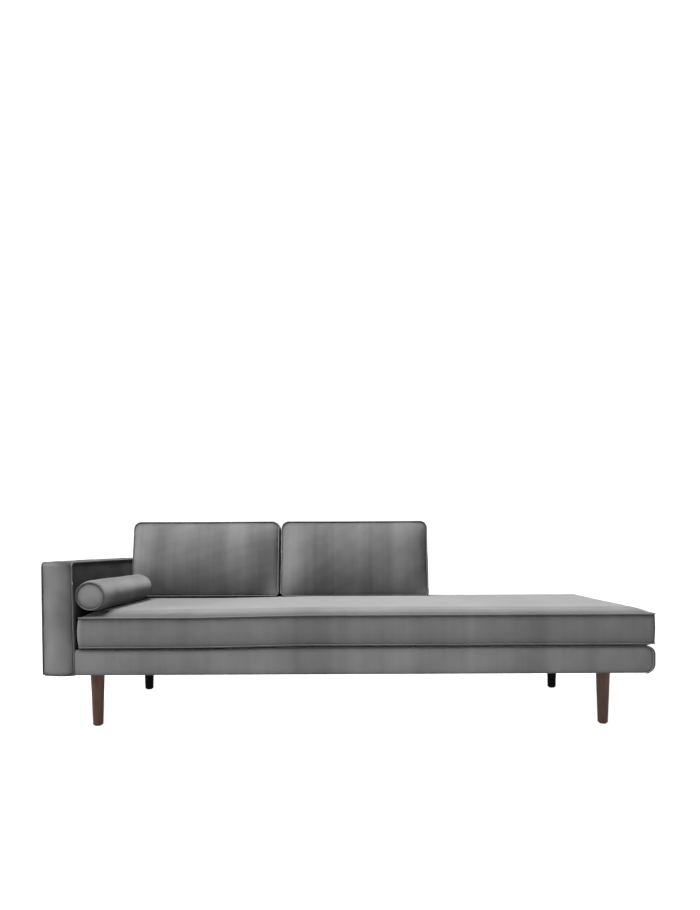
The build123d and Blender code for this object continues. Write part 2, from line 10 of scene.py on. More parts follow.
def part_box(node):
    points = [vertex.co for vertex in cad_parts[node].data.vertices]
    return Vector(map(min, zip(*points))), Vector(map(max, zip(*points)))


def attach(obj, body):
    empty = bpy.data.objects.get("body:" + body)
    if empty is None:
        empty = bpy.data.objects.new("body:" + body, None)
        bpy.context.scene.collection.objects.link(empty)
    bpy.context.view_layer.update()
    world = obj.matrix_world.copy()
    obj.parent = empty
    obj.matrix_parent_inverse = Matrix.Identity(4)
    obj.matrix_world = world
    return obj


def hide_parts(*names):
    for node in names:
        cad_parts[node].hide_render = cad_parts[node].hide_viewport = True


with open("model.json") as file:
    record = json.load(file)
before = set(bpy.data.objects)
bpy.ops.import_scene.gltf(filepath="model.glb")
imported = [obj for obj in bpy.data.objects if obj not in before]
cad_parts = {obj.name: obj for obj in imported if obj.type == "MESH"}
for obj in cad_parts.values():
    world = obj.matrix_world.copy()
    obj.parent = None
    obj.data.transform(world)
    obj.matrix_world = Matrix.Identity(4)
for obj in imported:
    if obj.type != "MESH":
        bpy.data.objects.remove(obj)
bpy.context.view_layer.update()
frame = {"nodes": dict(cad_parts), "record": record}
scene = bpy.context.scene
print("frame loaded")


class Wire:
    # a shader socket that numbers and other sockets can be added to
    def __init__(self, tree, socket):
        self.tree = tree
        self.socket = socket

    def math(self, kind, other, flip=False):
        pair = [other, self] if flip else [self, other]
        return addNode(self.tree, "ShaderNodeMath", {"operation": kind}, dict(enumerate(pair)))

    def __add__(self, other):
        return self.math("ADD", other)

    def __radd__(self, other):
        return self.math("ADD", other)

    def __sub__(self, other):
        return self.math("SUBTRACT", other)

    def __rsub__(self, other):
        return self.math("SUBTRACT", other, True)

    def __mul__(self, other):
        return self.math("MULTIPLY", other)


def addNode(tree, kind, settings, inputs, output=0):
    node = tree.nodes.new(kind)
    for key, value in settings.items():
        setattr(node, key, value)
    for key, value in inputs.items():
        if isinstance(value, Wire):
            tree.links.new(value.socket, node.inputs[key])
        else:
            node.inputs[key].default_value = value
    return Wire(tree, node.outputs[output])


def newMaterial(name, fixed):
    material = bpy.data.materials.new(name)
    material.use_nodes = True
    tree = material.node_tree
    shader = tree.nodes["Principled BSDF"]
    for key, value in fixed.items():
        shader.inputs[key].default_value = value
    return material, tree, shader


def link(tree, wire, shader, socket):
    tree.links.new(wire.socket, shader.inputs[socket])


def objectPlace(tree, scale):
    place = addNode(tree, "ShaderNodeTexCoord", {}, {}, "Object")
    return addNode(tree, "ShaderNodeMapping", {}, {"Vector": place, "Scale": scale})


def noise(tree, scale, size=1.0, detail=2.0, rough=0.5):
    place = objectPlace(tree, scale)
    inputs = {"Vector": place, "Scale": size, "Detail": detail, "Roughness": rough}
    return addNode(tree, "ShaderNodeTexNoise", {}, inputs)


def mixed(tree, factor, dark, light):
    # inputs 6 and 7 of the mix node are its two colours, and output 2 is the mixed colour
    return addNode(tree, "ShaderNodeMix", {"data_type": "RGBA"}, {0: factor, 6: dark, 7: light}, 2)


# the lean weight scales painted light and shade by which way the cloth faces; the seam weights scale
# painted shade beside the seams
velvetSet = {"wide": 7.5, "fine": 42.0, "slow": 0.9,
             "patch": (2.0, 2.0, 2.0), "stroke": (13.0, 13.0, 13.0),
             "grain": 1300.0, "grainDepth": 0.00035, "grainStrength": 0.35, "strokeHeight": 0.8,
             "bands": 0.75, "wideShare": 1.25, "fineShare": 0.35, "bandShift": 0.8, "flatBands": 0.25,
             "mottle": 0.22, "pile": 0.15, "lean": 0.42, "seamShade": 0.5, "seamShadeReach": 0.0055,
             "rough": 0.72, "roughSpread": 0.2, "sheenRough": 0.32, "specular": 0.1}


def velvet(name, along, dark, light, flat=0.0, sheen=0.32, streaks=1.0):
    # brushed pile in soft upright bands that fade where the cloth lies flat, with painted light and shade
    # on level tops, beside the seams and by which way the cloth faces
    fixed = {"Sheen Weight": sheen, "Sheen Roughness": velvetSet["sheenRough"],
             "Sheen Tint": (1, 1, 1, 1), "Specular IOR Level": velvetSet["specular"]}
    material, tree, shader = newMaterial(name, fixed)
    wide = noise(tree, bandScale(along, velvetSet["wide"]), rough=0.45)
    fine = noise(tree, bandScale(along, velvetSet["fine"]))
    slow = noise(tree, velvetSet["patch"])
    brushed = noise(tree, velvetSet["stroke"], detail=3.0)
    grain = noise(tree, (1.0, 1.0, 1.0), velvetSet["grain"])
    upright, lean, seamShade = [addNode(tree, "ShaderNodeAttribute", {"attribute_name": mark}, {}, 2)
                             for mark in ("upright", "lean", "seamShade")]
    bands = wide * velvetSet["wideShare"] + fine * velvetSet["fineShare"] - velvetSet["bandShift"]
    bands = bands * (velvetSet["flatBands"] + upright * (1 - velvetSet["flatBands"]))
    bands = bands * velvetSet["bands"] * streaks
    tone = 0.5 + bands + (slow - 0.5) * velvetSet["mottle"] + (brushed - 0.5) * velvetSet["mottle"]
    # painted light and shade: the lean mark lightens left-facing cloth, and darkens right-facing cloth,
    # the left of level tops and where a level top turns down at the front
    tone = tone + (grain - 0.5) * velvetSet["pile"] + lean * velvetSet["lean"]
    # painted shade: level faces are darkened by flat, and cloth close to the seams by the seam mark
    tone = tone + (upright - 1) * flat - seamShade * velvetSet["seamShade"]
    link(tree, mixed(tree, tone, dark, light), shader, "Base Color")
    link(tree, velvetSet["rough"] + brushed * velvetSet["roughSpread"], shader, "Roughness")
    height = grain + brushed * velvetSet["strokeHeight"]
    bump(tree, shader, velvetSet["grainStrength"], velvetSet["grainDepth"], height)
    return material


def bump(tree, shader, strength, depth, height):
    values = {"Strength": strength, "Distance": depth, "Height": height}
    link(tree, addNode(tree, "ShaderNodeBump", {}, values), shader, "Normal")


def bandScale(along, size):
    return tuple(size if axis == along else velvetSet["slow"] for axis in range(3))


woodSet = {"figure": (60.0, 60.0, 5.0), "pores": (700.0, 700.0, 28.0), "worn": (14.0, 14.0, 14.0),
           "figureShare": 1.3, "poreShare": 0.4, "shift": 0.35, "roughSpread": 0.18, "coatSpread": 0.1,
           "coatRough": 0.3, "poreStrength": 0.3, "poreDepth": 0.0002}


def wood(name, dark, light, rough, coat, gloss=0.4):
    # long figure along the grain, fine pores and a worn oil coat
    fixed = {"Coat Roughness": woodSet["coatRough"], "Specular IOR Level": gloss}
    material, tree, shader = newMaterial(name, fixed)
    figure = noise(tree, woodSet["figure"], detail=4.0, rough=0.6)
    pores = noise(tree, woodSet["pores"])
    worn = noise(tree, woodSet["worn"])
    tone = figure * woodSet["figureShare"] + pores * woodSet["poreShare"] - woodSet["shift"]
    link(tree, mixed(tree, tone, dark, light), shader, "Base Color")
    link(tree, rough + worn * woodSet["roughSpread"], shader, "Roughness")
    link(tree, coat - worn * woodSet["coatSpread"], shader, "Coat Weight")
    bump(tree, shader, woodSet["poreStrength"], woodSet["poreDepth"], pores)
    return material


plainSet = {"patch": (6.0, 6.0, 6.0), "grainShare": 0.7, "patchShare": 0.5, "shift": 0.1,
            "roughSpread": 0.15, "strength": 0.4}


def plain(name, dark, light, rough, grain, depth, metallic=0.0):
    # one tone with a fine grain and slow patches
    material, tree, shader = newMaterial(name, {"Metallic": metallic})
    mottle = noise(tree, (grain, grain, grain), detail=3.0)
    slow = noise(tree, plainSet["patch"])
    tone = mottle * plainSet["grainShare"] + slow * plainSet["patchShare"] - plainSet["shift"]
    link(tree, mixed(tree, tone, dark, light), shader, "Base Color")
    link(tree, rough + slow * plainSet["roughSpread"], shader, "Roughness")
    bump(tree, shader, plainSet["strength"], depth, mottle)
    return material


def grey(value, blue=1.005):
    return (value, value, value * blue, 1.0)


# one grey velvet in lit and shaded copies: the cushions are painted darker, the base, back and bolster
# lighter, and the arm both darker and lighter than the mattress, to suit how light falls on each piece
velvetMattress = velvet("greyVelvetMattress", 0, grey(0.036), grey(0.132), streaks=0.62)
velvetCushionShaded = velvet("greyVelvetCushionShaded", 0, grey(0.017), grey(0.106), sheen=0.14)
velvetBaseLit = velvet("greyVelvetBaseLit", 0, grey(0.043), grey(0.15), streaks=0.7)
velvetArmLitShaded = velvet("greyVelvetArmLitShaded", 1, grey(0.02), grey(0.2), 0.6, 0.14)
velvetBolsterLitShaded = velvet("greyVelvetBolsterLitShaded", 1, grey(0.055), grey(0.18), 0.72, 0.15)
# painted shade: the piping is the panels' cloth, given a darker grey for the shade along the seams
velvetPipingShaded = velvet("greyPipingShaded", 0, grey(0.026), grey(0.085))
walnut = wood("walnutOiled", (0.018, 0.0072, 0.004, 1), (0.08, 0.036, 0.023, 1), 0.5, 0.12, 0.2)
# near-black wood, used on the rear legs only
nearBlackWood = wood("woodNearBlack", (0.0008, 0.001, 0.001, 1), (0.003, 0.003, 0.003, 1), 0.75, 0.1, 0.03)
pine = wood("pinePlaned", (0.42, 0.27, 0.14, 1), (0.68, 0.5, 0.3, 1), 0.6, 0.1)
plywood = wood("plywoodThin", (0.36, 0.25, 0.15, 1), (0.58, 0.44, 0.29, 1), 0.65, 0.1)
foam = plain("foamOpenCell", (0.62, 0.58, 0.46, 1), (0.82, 0.79, 0.68, 1), 0.85, 500.0, 0.0006)
steel = plain("steelZinc", (0.42, 0.42, 0.43, 1), (0.66, 0.66, 0.67, 1), 0.28, 300.0, 0.00005, 1.0)
lining = plain("liningBlack", grey(0.012), grey(0.03), 0.8, 900.0, 0.0002)
plastic = plain("glidePlastic", grey(0.01), grey(0.03), 0.5, 400.0, 0.00005)
zipTape = plain("zipTape", grey(0.05), grey(0.1), 0.7, 1200.0, 0.0002)
print("materials made")


def extent(axes, *nodes):
    # lowest and highest reach of CAD nodes along three axes
    points = np.concatenate([meshPoints(frame["nodes"][node]) for node in nodes])
    local = points @ np.array(axes).T
    return local.min(0), local.max(0)


def meshPoints(obj):
    flat = np.empty(len(obj.data.vertices) * 3, np.float64)
    obj.data.vertices.foreach_get("co", flat)
    return flat.reshape(-1, 3)


rippleSet = {"waves": 9, "shortest": 0.6, "longest": 1.7, "level": 3.5}


def ripple(points, size, seed):
    # smooth field of a few seeded waves, about -1 to 1
    draw = np.random.default_rng(seed)
    field = np.zeros(len(points))
    for _ in range(rippleSet["waves"]):
        way = draw.normal(size=3)
        way /= np.linalg.norm(way)
        wave = size * draw.uniform(rippleSet["shortest"], rippleSet["longest"])
        field += np.sin(points @ way * 2 * math.pi / wave + draw.uniform(0, 2 * math.pi))
    return field / rippleSet["level"]


formSet = {"rimSteps": 5, "leastCells": 4, "leastRows": 3, "easing": (0.12, 0.4, 0.7)}


def gradedAxis(half, corner, cell):
    # places along one side: even cells, and finer steps over the corners
    count = max(formSet["leastCells"], round(2 * (half - corner) / cell))
    rim = np.linspace(-half, -half + corner, formSet["rimSteps"] + 1)[:-1]
    middle = np.linspace(-half + corner, half - corner, count + 1)
    return np.concatenate([rim, middle, -rim[::-1]])


def roundedPlan(u, v, a, b, corner):
    # square corner zones folded into quarter discs
    du = np.maximum(np.abs(u) - (a - corner), 0)
    dv = np.maximum(np.abs(v) - (b - corner), 0)
    reach = np.hypot(du, dv)
    factor = np.where(reach > 0, np.maximum(du, dv) / np.maximum(reach, 1e-9), 1.0)
    pu = np.where(du > 0, np.sign(u) * (a - corner + du * factor), u)
    pv = np.where(dv > 0, np.sign(v) * (b - corner + dv * factor), v)
    return pu, pv


def domed(u, v, a, b, rise, fullness):
    # 0 at the seam, 1 on the level part
    tu = np.clip((a - np.abs(u)) / min(rise, a), 0, 1)
    tv = np.clip((b - np.abs(v)) / min(rise, b), 0, 1)
    return (1 - (1 - tu) ** fullness) * (1 - (1 - tv) ** fullness)


def boxedForm(low, high, levels, spec, crowns, rises, pull=(0, 0, 0, 0)):
    # closed boxed cushion of two domed panels and a boxing: points, faces and the two seam loops
    a, b = (high[0] - low[0]) / 2, (high[1] - low[1]) / 2
    middle = np.array([(high[0] + low[0]) / 2, (high[1] + low[1]) / 2])
    us, vs = [gradedAxis(side, spec["corner"], spec["cell"]) for side in (a, b)]
    gridU, gridV = [g.ravel() for g in np.meshgrid(us, vs, indexing="ij")]
    planU, planV = roundedPlan(gridU, gridV, a, b, spec["corner"])
    left, right, under, over = pull
    seamU = planU + np.interp(planU, [-a, a], [left, -right])
    seamV = planV + np.interp(planV, [-b, b], [under, -over])
    nu, nv = len(us), len(vs)
    number = np.arange(nu * nv).reshape(nu, nv)
    rim = np.concatenate([number[:-1, 0], number[-1, :-1], number[:0:-1, -1], number[0, :0:-1]])
    corners = [number[:-1, :-1], number[1:, :-1], number[1:, 1:], number[:-1, 1:]]
    quads = np.stack(corners, -1).reshape(-1, 4)
    points = []
    for crown, rise, level, sign in zip(crowns, rises, levels[::-1], (1, -1)):
        height = level + sign * crown * domed(gridU, gridV, a, b, rise, spec["fullness"])
        points.append(np.stack([seamU, seamV, height], -1))
    count = nu * nv
    faces = [list(q) for q in quads] + [list(q[::-1] + count) for q in quads]
    rimPlan = np.stack([planU[rim], planV[rim]], -1)
    reach = np.array([a, b]) - spec["corner"]
    outward = rimPlan - np.clip(rimPlan, -reach, reach)
    outward /= np.maximum(np.linalg.norm(outward, axis=1, keepdims=True), 1e-9)
    span = levels[1] - levels[0]
    near = min(spec["depth"], span / 3)
    rowCount = max(formSet["leastRows"], round((span - 2 * near) / spec["cell"]) + 1)
    inner = np.linspace(levels[0] + near, levels[1] - near, rowCount)
    easing = near * np.array(formSet["easing"])
    rows = np.concatenate([levels[1] - easing, inner[::-1], (levels[0] + easing)[::-1]])
    previous = rim
    for row in rows:
        away = min(row - levels[0], levels[1] - row)
        fullness = math.sqrt(max(0.0, 1 - max(0.0, 1 - away / near) ** 2))
        swell = spec["bulge"] * math.sin(math.pi * (row - levels[0]) / span) ** spec["swellPower"]
        swell = swell * (1 + spec.get("leftSwell", 0) * np.maximum(0, -outward[:, 0]))
        u = seamU[rim] + (planU[rim] - seamU[rim]) * fullness + outward[:, 0] * swell
        v = seamV[rim] + (planV[rim] - seamV[rim]) * fullness + outward[:, 1] * swell
        start = sum(len(p) for p in points)
        points.append(np.stack([u, v, np.full(len(rim), row)], -1))
        current = np.arange(len(rim)) + start
        faces += bandFaces(previous, current)
        previous = current
    faces += bandFaces(previous, rim + count)
    points = np.concatenate(points)
    points[:, :2] += middle
    return points, faces, [rim, rim + count]


def bandFaces(upper, lower):
    # four-sided faces between two closed rings of points
    nextUpper, nextLower = np.roll(upper, -1), np.roll(lower, -1)
    return [list(q) for q in np.stack([upper, lower, nextLower, nextUpper], -1)]


def toWorld(points, axes):
    # from a piece's own three axes back to the room's
    return points @ np.array(axes)


def newPiece(name, points, faces, material):
    mesh = bpy.data.meshes.new(name)
    mesh.from_pydata([tuple(p) for p in points], [], [[int(i) for i in f] for f in faces])
    mesh.validate()
    mesh.materials.append(material)
    mesh.polygons.foreach_set("use_smooth", [True] * len(mesh.polygons))
    obj = bpy.data.objects.new(name, mesh)
    scene.collection.objects.link(obj)
    outwardFaces(obj)
    return obj


def markPaintedShade(obj, share=1.0, leftTopShade=0.0, edge=0.0):
    # painted light and shade: cloth facing left is painted lighter and cloth facing right darker, as if
    # lit from the left, by a share that is negative on the bolster; a level top is painted darker towards
    # the left and where it turns down at the front
    normals = normalsOf(obj)
    upright = 1 - np.abs(normals[:, 2])
    lean = leftTopShade * (1 - upright) * meshPoints(obj)[:, 0] - normals[:, 0] * share
    lean -= edge * np.clip(-normals[:, 1], 0, 1) * np.clip(normals[:, 2], 0, 1)
    for name, values in (("upright", upright), ("lean", lean)):
        layer = obj.data.attributes.new(name, "FLOAT", "POINT")
        layer.data.foreach_set("value", values)


def outwardFaces(obj):
    work = bmesh.new()
    work.from_mesh(obj.data)
    bmesh.ops.recalc_face_normals(work, faces=work.faces)
    work.to_mesh(obj.data)
    work.free()


def normalsOf(obj):
    flat = np.empty(len(obj.data.vertices) * 3, np.float64)
    obj.data.vertices.foreach_get("normal", flat)
    return flat.reshape(-1, 3)


def setPoints(obj, points):
    obj.data.vertices.foreach_set("co", points.ravel())
    obj.data.update()


reliefSet = {"small": 0.06, "smallShare": 0.45, "free": 0.03, "gather": 0.022, "gatherReach": 0.014,
             "gatherStart": 0.004}


def relief(obj, loops, spec, seed):
    # slow waves all over and short gathers that die away from the seams
    points, normals = meshPoints(obj), normalsOf(obj)
    seams = points[np.concatenate(loops)]
    tree = KDTree(len(seams))
    for i, p in enumerate(seams):
        tree.insert(p, i)
    tree.balance()
    away = np.array([tree.find(p)[2] for p in points])
    small = reliefSet["smallShare"] * ripple(points, reliefSet["small"], seed + 1)
    field = spec["ripple"] * (ripple(points, spec["wave"], seed) + small)
    free = np.clip(away / reliefSet["free"], 0, 1)
    gather = spec["gather"] * ripple(points, reliefSet["gather"], seed + 2)
    gather = gather * np.exp(-away / reliefSet["gatherReach"])
    gather = gather * np.clip(away / reliefSet["gatherStart"], 0, 1)
    setPoints(obj, points + normals * (field * free + gather)[:, None])
    # paints light and shade into the lean mark by facing and place
    markPaintedShade(obj, spec.get("sideShade", 1.0), spec.get("leftTopShade", 0.0), spec.get("edge", 0.0))
    # painted shade: the colour is darkened close to every seam, where shade gathers along it
    layer = obj.data.attributes.new("seamShade", "FLOAT", "POINT")
    layer.data.foreach_set("value", np.exp(-away / velvetSet["seamShadeReach"]))


clothSet = {"quality": 6, "mass": 0.25, "tension_stiffness": 18, "compression_stiffness": 18,
            "shear_stiffness": 8, "bending_stiffness": 1.2, "use_pressure": True}
puffFrames = 20


def puff(obj, loops, spec):
    # cloth under air pressure with its seams held, applied to the mesh
    start = meshPoints(obj)
    seam = obj.vertex_groups.new(name="seam")
    seam.add([int(i) for i in np.concatenate(loops)], 1.0, "REPLACE")
    cloth = obj.modifiers.new("cloth", "CLOTH")
    for key, value in clothSet.items():
        setattr(cloth.settings, key, value)
    cloth.settings.uniform_pressure_force = spec["pressure"]
    cloth.settings.vertex_group_mass = "seam"
    cloth.settings.effector_weights.gravity = 0
    cloth.collision_settings.use_collision = False
    for number in range(1, puffFrames + 1):
        scene.frame_set(number)
    shaped = obj.evaluated_get(bpy.context.evaluated_depsgraph_get())
    end = meshPoints(shaped)
    obj.modifiers.clear()
    obj.vertex_groups.clear()
    scene.frame_set(1)
    move = end - start
    far = np.linalg.norm(move, axis=1, keepdims=True)
    move *= np.minimum(1.0, spec["cap"] / np.maximum(far, 1e-9))
    setPoints(obj, start + move)
    print(obj.name, "puffed, furthest", round(float(far.max()), 4))


def finer(obj):
    # one smooth subdivision
    level = obj.modifiers.new("finer", "SUBSURF")
    level.levels = level.render_levels = 1


pipingSet = {"radius": 0.0025, "sides": 10, "stand": 0.0017}


def newTree(name, sizes):
    # an empty tree that takes a path, named sizes and a material
    tree = bpy.data.node_groups.new(name, "GeometryNodeTree")
    for size, kind in {"Geometry": "Geometry", **sizes, "Material": "Material"}.items():
        tree.interface.new_socket(size, in_out="INPUT", socket_type="NodeSocket" + kind)
    tree.interface.new_socket("Geometry", in_out="OUTPUT", socket_type="NodeSocketGeometry")
    return tree, tree.nodes.new("NodeGroupInput"), tree.nodes.new("NodeGroupOutput")


def pipingTree():
    tree, take, give = newTree("pipingTree", {"Radius": "Float", "Sides": "Int"})
    line = tree.nodes.new("GeometryNodeMeshToCurve")
    ring = tree.nodes.new("GeometryNodeCurvePrimitiveCircle")
    skin = tree.nodes.new("GeometryNodeCurveToMesh")
    skin.inputs["Fill Caps"].default_value = True
    soft = tree.nodes.new("GeometryNodeSetShadeSmooth")
    real = tree.nodes.new("GeometryNodeRealizeInstances")
    dress = tree.nodes.new("GeometryNodeSetMaterial")
    for first, out, second, into in (
            (take, "Geometry", line, "Mesh"), (take, "Radius", ring, "Radius"),
            (take, "Sides", ring, "Resolution"), (line, "Curve", skin, "Curve"),
            (ring, "Curve", skin, "Profile Curve"), (skin, "Mesh", soft, "Geometry"),
            (soft, "Geometry", real, "Geometry"), (real, "Geometry", dress, "Geometry"),
            (take, "Material", dress, "Material"), (dress, "Geometry", give, "Geometry")):
        tree.links.new(first.outputs[out], second.inputs[into])
    return tree


def teethTree():
    tree, take, give = newTree("zipTeethTree", {"Pitch": "Float", "Tooth": "Vector"})
    line = tree.nodes.new("GeometryNodeMeshToCurve")
    spaced = tree.nodes.new("GeometryNodeResampleCurve")
    spaced.mode = "LENGTH"
    tooth = tree.nodes.new("GeometryNodeMeshCube")
    many = tree.nodes.new("GeometryNodeInstanceOnPoints")
    real = tree.nodes.new("GeometryNodeRealizeInstances")
    dress = tree.nodes.new("GeometryNodeSetMaterial")
    for first, out, second, into in (
            (take, "Geometry", line, "Mesh"), (line, "Curve", spaced, "Curve"),
            (take, "Pitch", spaced, "Length"), (spaced, "Curve", many, "Points"),
            (take, "Tooth", tooth, "Size"), (tooth, "Mesh", many, "Instance"),
            (many, "Instances", real, "Geometry"), (real, "Geometry", dress, "Geometry"),
            (take, "Material", dress, "Material"), (dress, "Geometry", give, "Geometry")):
        tree.links.new(first.outputs[out], second.inputs[into])
    return tree


pipingNodes, teethNodes = pipingTree(), teethTree()


def grown(name, paths, tree, values):
    # runs a tree along paths, each a (points, closed) pair, and keeps the plain mesh
    points, edges = [], []
    for path, closed in paths:
        start = len(points)
        points += [tuple(p) for p in path]
        edges += [(start + i, start + i + 1) for i in range(len(path) - 1)]
        if closed:
            edges.append((len(points) - 1, start))
    mesh = bpy.data.meshes.new(name + "Path")
    mesh.from_pydata(points, edges, [])
    carrier = bpy.data.objects.new(name + "Path", mesh)
    scene.collection.objects.link(carrier)
    modifier = carrier.modifiers.new("grow", "NODES")
    modifier.node_group = tree
    for item in tree.interface.items_tree:
        if item.in_out == "INPUT" and item.name in values:
            modifier[item.identifier] = values[item.name]
    bpy.context.view_layer.update()
    graph = bpy.context.evaluated_depsgraph_get()
    made = bpy.data.meshes.new_from_object(carrier.evaluated_get(graph))
    bpy.data.objects.remove(carrier)
    made.name = name
    obj = bpy.data.objects.new(name, made)
    scene.collection.objects.link(obj)
    outwardFaces(obj)
    # the piping too is painted lighter where it faces left and darker where it faces right
    markPaintedShade(obj)
    return obj


def piping(name, paths):
    return grown(name, paths, pipingNodes, {"Radius": pipingSet["radius"], "Sides": pipingSet["sides"],
                                           "Material": velvetPipingShaded})


def seamPath(obj, loop, centre, axis):
    # seam points moved diagonally off the cushion
    points = meshPoints(obj)[loop]
    axis = np.array(axis)
    middle = np.array(centre)
    inPlane = points - middle
    inPlane -= np.outer(inPlane @ axis, axis)
    tangent = np.roll(points, -1, 0) - np.roll(points, 1, 0)
    tangent /= np.linalg.norm(tangent, axis=1, keepdims=True)
    out = np.cross(tangent, axis)
    out *= np.sign(np.sum(out * inPlane, axis=1))[:, None]
    side = math.copysign(1.0, float(((points.mean(0) - middle) @ axis)))
    return points + (out + axis * side) * pipingSet["stand"] * math.sqrt(0.5)


def handOver(cover, cords, body, replaced, pipingNode):
    # what every upholstered piece says to the frame
    finer(cover)
    for piece in (cover, cords):
        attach(piece, body)
    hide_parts(*replaced)
    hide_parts(pipingNode)


print("tools ready")


world = ([1, 0, 0], [0, 1, 0], [0, 0, 1])
seamMargin = 0.002   # the seams lie this far beyond the boxing's own edges
mattressSet = {"cell": 0.015, "corner": 0.018, "rise": 0.085, "crown": 0.022, "fullness": 3.6,
               "belly": 0.012, "bellyRise": 0.034, "bulge": 0.0034, "swellPower": 0.6, "leftSwell": 1.2,
               "ripple": 0.0003, "gather": 0.0009, "wave": 0.3, "cap": 0.0025, "pressure": 1.0,
               "depth": 0.008, "fill": 0.85, "dip": 0.0065, "dipStart": -0.12, "dipSpan": 0.48,
               "leftTopShade": 0.42, "edge": 2.2, "floorGap": 0.0006, "seed": 11}


def makeMattress():
    low, high = extent(world, "mattress_boxing")
    seams = (low[2] - seamMargin, high[2] + seamMargin)
    crowns = (mattressSet["crown"], mattressSet["belly"])
    rises = (mattressSet["rise"], mattressSet["bellyRise"])
    points, faces, loops = boxedForm(low, high, seams, mattressSet, crowns, rises)
    points = slump(points)
    cover = newPiece("mattressCover", points, faces, velvetMattress)
    puff(cover, loops, mattressSet)
    relief(cover, loops, mattressSet, mattressSet["seed"])
    settle(cover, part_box("deck_cloth")[1].z + mattressSet["floorGap"])
    centre = (low + high) / 2
    paths = [(seamPath(cover, loop, centre, world[2]), True) for loop in loops]
    cords = piping("mattressPiping", paths)
    replaced = ("mattress_core", "mattress_wrap", "mattress_top_panel", "mattress_boxing",
                "mattress_bottom_panel")
    handOver(cover, cords, "mattress", replaced, "mattress_piping")


def slump(points):
    # the left part sits a little lower than the rest
    share = np.clip((mattressSet["dipStart"] - points[:, 0]) / mattressSet["dipSpan"], 0, 1)
    points[:, 2] -= mattressSet["dip"] * share**2 * (3 - 2 * share)
    return points


def settle(obj, floor):
    # no point stays below a level
    points = meshPoints(obj)
    points[:, 2] = np.maximum(points[:, 2], floor)
    setPoints(obj, points)


makeMattress()
print("mattress made")


cushionSet = {"cell": 0.0105, "corner": 0.03, "rise": 0.135, "crown": 0.028, "fullness": 2.1,
              "bulge": 0.0084, "swellPower": 0.8, "ripple": 0.0007, "gather": 0.0010, "wave": 0.19,
              "cap": 0.0035, "pressure": 4.0, "depth": 0.008, "fill": 0.8, "lean": 11.0, "waist": 0.0012,
              "waistUp": 0.00096, "sink": 0.005, "sideShade": 1.9, "squash": 0.011, "squashReach": 0.14,
              "squashPower": 1.5, "squashCap": 1.3, "square": 0.009,
              "seeds": {"left_cushion": 31, "right_cushion": 47}}


def sunkFoot(points, low, high):
    # how a cushion's points move: its sides pull in between the corners, the lower corners
    # are squarer, and the front of the foot settles towards the mattress
    half = (high - low) / 2
    u, v = ((points - (low + high) / 2) / half)[:, :2].T
    moves = np.zeros_like(points)
    moves[:, 0] = -u * cushionSet["waist"] * (1 - v**2) * np.abs(u)
    moves[:, 1] = -v * cushionSet["waistUp"] * (1 - u**2) * np.abs(v)
    beside = np.clip((np.abs(u) - 1) * half[0] / cushionSet["corner"] + 1, 0, 1)
    below = np.clip((-v - 1) * half[1] / cushionSet["corner"] + 1, 0, 1)
    moves[:, 0] += np.sign(u) * beside * below * cushionSet["square"]
    foot = np.clip((-v - 1) * half[1] / cushionSet["squashReach"] + 1, 0, 1) ** cushionSet["squashPower"]
    front = np.clip((points[:, 2] - low[2]) / (high[2] - low[2]), 0, cushionSet["squashCap"])
    moves[:, 1] -= beside * below * cushionSet["square"] + foot * front * cushionSet["squash"]
    return moves


def makeCushion(body, seed):
    lean = math.radians(cushionSet["lean"])
    axes = ([1, 0, 0], [0, math.sin(lean), math.cos(lean)], [0, -math.cos(lean), math.sin(lean)])
    low, high = extent(axes, body + "_boxing")
    seams = (low[2] - seamMargin, high[2] + seamMargin)
    pair = (cushionSet["crown"], cushionSet["crown"])
    low[1], high[1] = low[1] - cushionSet["sink"], high[1] - cushionSet["sink"]
    points, faces, loops = boxedForm(low, high, seams, cushionSet, pair, (cushionSet["rise"],) * 2)
    centre = (low + high) / 2
    points += sunkFoot(points, low, high)
    cover = newPiece(body.split("_")[0] + "CushionCover", toWorld(points, axes), faces, velvetCushionShaded)
    puff(cover, loops, cushionSet)
    relief(cover, loops, cushionSet, seed)
    middle = toWorld(centre[None], axes)[0]
    paths = [(seamPath(cover, loop, middle, axes[2]), True) for loop in loops]
    cords = piping(body.split("_")[0] + "CushionPiping", paths)
    replaced = [f"{body}_{part}" for part in ("core", "front_panel", "boxing", "rear_panel")]
    handOver(cover, cords, body, replaced, body + "_piping")


for body, seed in cushionSet["seeds"].items():
    makeCushion(body, seed)
print("cushions made")


bolsterSet = {"around": 72, "along": 60, "endCrown": 0.006, "endRings": 9, "innermost": 0.06,
              "tip": 0.0001, "round": 0.032, "ripple": 0.0008, "gather": 0.0009, "wave": 0.19,
              "sink": 0.004, "fill": 0.9, "sideShade": -0.9, "seed": 71}


def bolsterStations(half, radius, endRadius):
    # place and radius of every ring from the front disc to the rear one
    disc = [(-half - bolsterSet["endCrown"] * (1 - s**2), endRadius * s)
            for s in np.linspace(bolsterSet["innermost"], 1, bolsterSet["endRings"])]
    sleeve = []
    for y in np.linspace(-half, half, bolsterSet["along"] + 1)[1:-1]:
        away = min(half - abs(y), bolsterSet["round"]) / bolsterSet["round"]
        sleeve.append((y, endRadius + (radius - endRadius) * math.sqrt(1 - (1 - away) ** 2)))
    return disc + sleeve + [(-y, r) for y, r in disc[::-1]]


